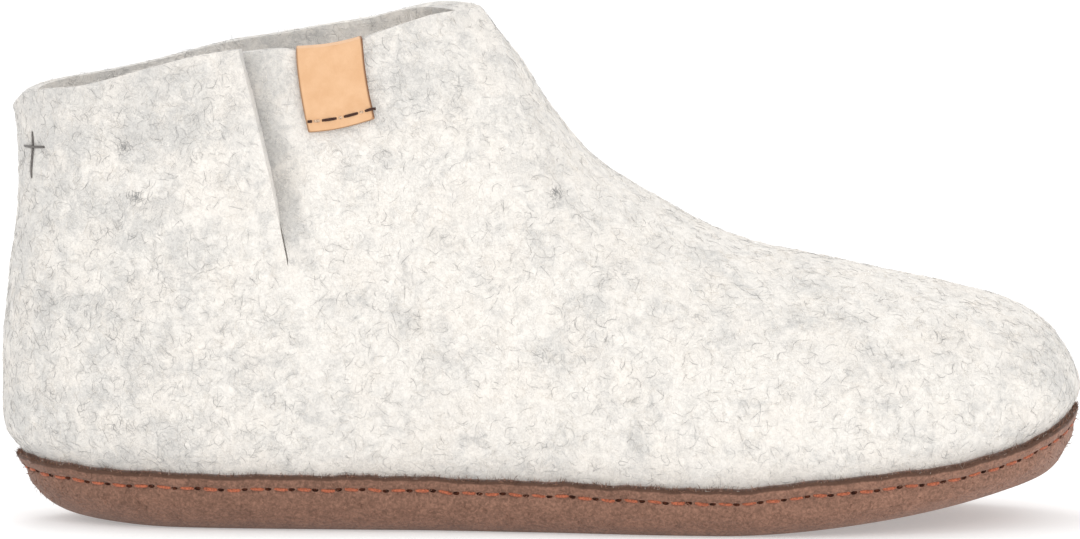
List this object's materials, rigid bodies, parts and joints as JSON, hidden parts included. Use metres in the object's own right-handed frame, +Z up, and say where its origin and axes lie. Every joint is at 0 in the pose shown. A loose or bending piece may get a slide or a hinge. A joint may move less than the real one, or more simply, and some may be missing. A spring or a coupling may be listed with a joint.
{
  "type": "felt slipper",
  "caption": "Ankle-high felt slipper with a suede sole turned up round the foot, a slit in the collar, a felt insole and a leather tab folded over the rim.",
  "frame": {"origin": "on the floor under the middle of the shoe, half way along and half way across it", "axes": "+X along the shoe towards the toe, +Y towards the inner side of the foot, +Z up from the floor"},
  "size_m": [0.2707, 0.1003, 0.1288],
  "materials": {
    "felt": "pale grey felted wool, matt and hairy",
    "suede": "brown suede, matt with a short nap",
    "insole_felt": "grey felt, matt",
    "tab_leather": "natural tan leather, smooth with a soft sheen"
  },
  "bodies": {
    "root": {"upper": "felt", "sole": "suede", "insole": "insole_felt", "tab": "tab_leather"}
  },
  "joints": []
}
